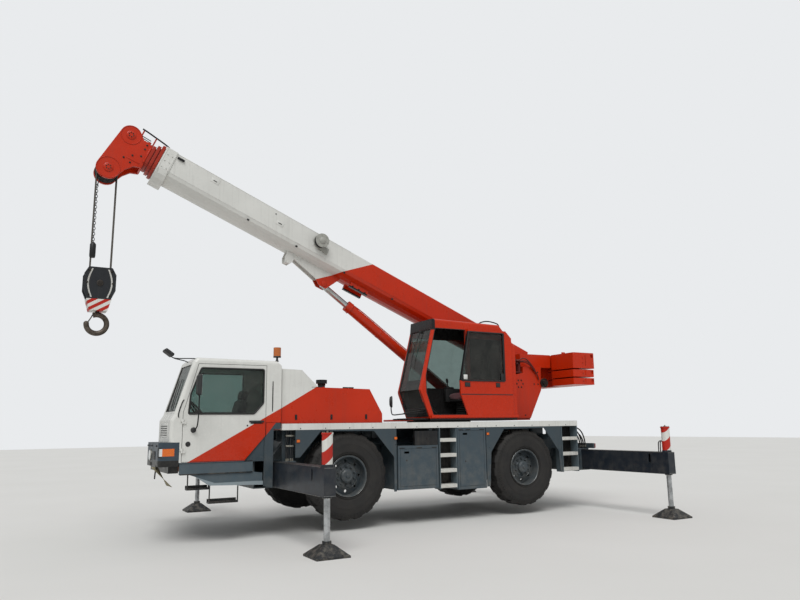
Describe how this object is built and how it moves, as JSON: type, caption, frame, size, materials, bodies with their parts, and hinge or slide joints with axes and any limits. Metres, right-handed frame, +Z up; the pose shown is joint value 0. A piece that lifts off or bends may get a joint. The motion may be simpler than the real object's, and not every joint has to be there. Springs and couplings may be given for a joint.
{
  "type": "mobile crane",
  "caption": "Rough-road mobile crane on outriggers: half-width carrier cab, slewing superstructure with operator's cab, telescopic boom, luffing cylinder and hook block.",
  "frame": {"origin": "on the ground under the centre of the slewing ring", "axes": "+X forward to the carrier cab, +Y to the crane's left, +Z up"},
  "size_m": [9.5335, 6.46, 6.5894],
  "materials": {
    "paint_white": "gloss",
    "paint_red": "gloss",
    "paint_slate": "satin",
    "paint_navy": "satin",
    "paint_black": "satin",
    "rubber_tyre": "matt",
    "cast": "rough",
    "chrome_rod": "polished",
    "clear_glass": "clear",
    "seat_cloth": "matt",
    "dark_plastic": "matt",
    "lamp_amber": "gloss",
    "steel_rope": "brushed"
  },
  "bodies": {
    "chassis": {"chassis_frame": "paint_slate", "axles": "cast", "deck": "paint_white", "side_panels": "paint_slate", "side_lockers": "paint_slate", "ladders": "paint_white", "engine_hood": "paint_white", "engine_block": "cast", "carrier_cab": "paint_white", "carrier_cab_glass": "clear_glass", "carrier_cab_interior": "dark_plastic", "bumper": "paint_slate", "lamps": "lamp_amber", "cab_steps": "paint_slate"},
    "knuckle_fl": {"knuckle_front_left": "cast"},
    "wheel_fl": {"tyre_front_left": "rubber_tyre", "rim_front_left": "paint_slate"},
    "knuckle_fr": {"knuckle_front_right": "cast"},
    "wheel_fr": {"tyre_front_right": "rubber_tyre", "rim_front_right": "paint_slate"},
    "knuckle_rl": {"knuckle_rear_left": "cast"},
    "wheel_rl": {"tyre_rear_left": "rubber_tyre", "rim_rear_left": "paint_slate"},
    "knuckle_rr": {"knuckle_rear_right": "cast"},
    "wheel_rr": {"tyre_rear_right": "rubber_tyre", "rim_rear_right": "paint_slate"},
    "tie_front": {"tie_rod_front": "cast"},
    "tie_rear": {"tie_rod_rear": "cast"},
    "beam_fl": {"outrigger_beam_fl": "paint_navy"},
    "jack_fl": {"outrigger_jack_fl": "chrome_rod"},
    "beam_fr": {"outrigger_beam_fr": "paint_navy"},
    "jack_fr": {"outrigger_jack_fr": "chrome_rod"},
    "beam_rl": {"outrigger_beam_rl": "paint_navy"},
    "jack_rl": {"outrigger_jack_rl": "chrome_rod"},
    "beam_rr": {"outrigger_beam_rr": "paint_navy"},
    "jack_rr": {"outrigger_jack_rr": "chrome_rod"},
    "cab_door": {"carrier_door": "paint_white", "carrier_door_glass": "clear_glass", "door_mirror": "dark_plastic"},
    "superstructure": {"turntable": "paint_red", "operator_cab": "paint_red", "operator_cab_glass": "clear_glass", "operator_seat": "seat_cloth", "counterweight": "paint_red", "winch": "steel_rope"},
    "operator_door": {"operator_door": "paint_red", "operator_door_glass": "clear_glass"},
    "boom": {"boom_base": "paint_red"},
    "luff_barrel": {"luffing_barrel": "paint_red"},
    "luff_rod": {"luffing_rod": "chrome_rod"},
    "section_2": {"boom_section_2": "paint_red"},
    "section_3": {"boom_section_3": "paint_red"},
    "boom_tip": {"boom_section_4": "paint_red", "boom_head": "paint_red"},
    "falls": {"head_sheaves": "dark_plastic", "hook_falls": "steel_rope"},
    "block": {"hook_block": "paint_black"},
    "hook": {"hook": "paint_black"}
  },
  "joints": [
    {"name": "steer_fl", "type": "hinge", "parent": "chassis", "child": "knuckle_fl", "pos_m": [2.5, 0.8, 0.842], "axis": [0, 0, 1], "range_deg": [-30, 30]},
    {"name": "steer_fr", "type": "hinge", "parent": "chassis", "child": "knuckle_fr", "pos_m": [2.5, -0.8, 0.842], "axis": [0, 0, 1], "range_deg": [-30, 30]},
    {"name": "tie_rod_front", "type": "hinge", "parent": "knuckle_fl", "child": "tie_front", "pos_m": [2.24, 0.8, 0.71], "axis": [0, 0, 1], "range_deg": [-30, 30]},
    {"name": "steer_rl", "type": "hinge", "parent": "chassis", "child": "knuckle_rl", "pos_m": [-1.1, 0.8, 0.842], "axis": [0, 0, 1], "range_deg": [-30, 30]},
    {"name": "steer_rr", "type": "hinge", "parent": "chassis", "child": "knuckle_rr", "pos_m": [-1.1, -0.8, 0.842], "axis": [0, 0, 1], "range_deg": [-30, 30]},
    {"name": "tie_rod_rear", "type": "hinge", "parent": "knuckle_rl", "child": "tie_rear", "pos_m": [-0.84, 0.8, 0.71], "axis": [0, 0, 1], "range_deg": [-30, 30]},
    {"name": "wheel_fl", "type": "hinge", "parent": "knuckle_fl", "child": "wheel_fl", "pos_m": [2.5, 1.04, 0.842], "axis": [0, 1, 0], "continuous": true},
    {"name": "wheel_fr", "type": "hinge", "parent": "knuckle_fr", "child": "wheel_fr", "pos_m": [2.5, -1.04, 0.842], "axis": [0, 1, 0], "continuous": true},
    {"name": "wheel_rl", "type": "hinge", "parent": "knuckle_rl", "child": "wheel_rl", "pos_m": [-1.1, 1.04, 0.842], "axis": [0, 1, 0], "continuous": true},
    {"name": "wheel_rr", "type": "hinge", "parent": "knuckle_rr", "child": "wheel_rr", "pos_m": [-1.1, -1.04, 0.842], "axis": [0, 1, 0], "continuous": true},
    {"name": "outrigger_fl", "type": "slide", "parent": "chassis", "child": "beam_fl", "axis": [0, 1, 0], "range_m": [-1.8, 0]},
    {"name": "jack_fl", "type": "slide", "parent": "beam_fl", "child": "jack_fl", "axis": [0, 0, -1], "range_m": [-0.52, 0]},
    {"name": "outrigger_fr", "type": "slide", "parent": "chassis", "child": "beam_fr", "axis": [0, -1, 0], "range_m": [-1.8, 0]},
    {"name": "jack_fr", "type": "slide", "parent": "beam_fr", "child": "jack_fr", "axis": [0, 0, -1], "range_m": [-0.52, 0]},
    {"name": "outrigger_rl", "type": "slide", "parent": "chassis", "child": "beam_rl", "axis": [0, 1, 0], "range_m": [-1.8, 0]},
    {"name": "jack_rl", "type": "slide", "parent": "beam_rl", "child": "jack_rl", "axis": [0, 0, -1], "range_m": [-0.52, 0]},
    {"name": "outrigger_rr", "type": "slide", "parent": "chassis", "child": "beam_rr", "axis": [0, -1, 0], "range_m": [-1.8, 0]},
    {"name": "jack_rr", "type": "slide", "parent": "beam_rr", "child": "jack_rr", "axis": [0, 0, -1], "range_m": [-0.52, 0]},
    {"name": "cab_door", "type": "hinge", "parent": "chassis", "child": "cab_door", "pos_m": [5.127, 1.265, 1.8], "axis": [0, 0, -1], "range_deg": [0, 70]},
    {"name": "slew", "type": "hinge", "parent": "chassis", "child": "superstructure", "pos_m": [0, 0, 1.705], "axis": [0, 0, 1], "continuous": true},
    {"name": "operator_door", "type": "slide", "parent": "superstructure", "child": "operator_door", "axis": [1, 0, 0], "range_m": [0, 0.72]},
    {"name": "luff", "type": "hinge", "parent": "superstructure", "child": "boom", "pos_m": [-1.55, 0, 2.42], "axis": [0, -1, 0], "range_deg": [-22.5, 57.5]},
    {"name": "luff_barrel", "type": "hinge", "parent": "superstructure", "child": "luff_barrel", "pos_m": [-0.78, 0, 1.86], "axis": [0, -1, 0], "range_deg": [-22.5, 57.5]},
    {"name": "luff_rod", "type": "slide", "parent": "luff_barrel", "child": "luff_rod", "axis": [0.8128, 0, 0.5825], "range_m": [-0.36, 0.91]},
    {"name": "tele_2", "type": "slide", "parent": "boom", "child": "section_2", "axis": [0.9239, 0, 0.3827], "range_m": [0, 5.9]},
    {"name": "tele_3", "type": "slide", "parent": "section_2", "child": "section_3", "axis": [0.9239, 0, 0.3827], "range_m": [0, 5.9]},
    {"name": "tele_4", "type": "slide", "parent": "section_3", "child": "boom_tip", "axis": [0.9239, 0, 0.3827], "range_m": [0, 5.9]},
    {"name": "plumb", "type": "hinge", "parent": "boom_tip", "child": "falls", "pos_m": [6.23349, 0, 5.73603], "axis": [0, 1, 0], "range_deg": [-22.5, 57.5]},
    {"name": "hoist", "type": "slide", "parent": "falls", "child": "block", "axis": [0, 0, -1], "range_m": [-1.15, 0], "deforming": ["hook_falls"]},
    {"name": "hook_swivel", "type": "hinge", "parent": "block", "child": "hook", "pos_m": [6.23349, 0, 3.4], "axis": [0, 0, 1], "continuous": true}
  ],
  "couplings": [
    {"joint": "steer_fr", "follows": "steer_fl", "ratio": 1},
    {"joint": "tie_rod_front", "follows": "steer_fl", "ratio": -1},
    {"joint": "steer_rr", "follows": "steer_rl", "ratio": 1},
    {"joint": "tie_rod_rear", "follows": "steer_rl", "ratio": -1},
    {"joint": "luff_barrel", "follows": "luff", "ratio": 1},
    {"joint": "luff_rod", "follows": "luff", "m_per_rad": 0.9},
    {"joint": "tele_4", "follows": "tele_3", "ratio": 1},
    {"joint": "plumb", "follows": "luff", "ratio": 1}
  ]
}
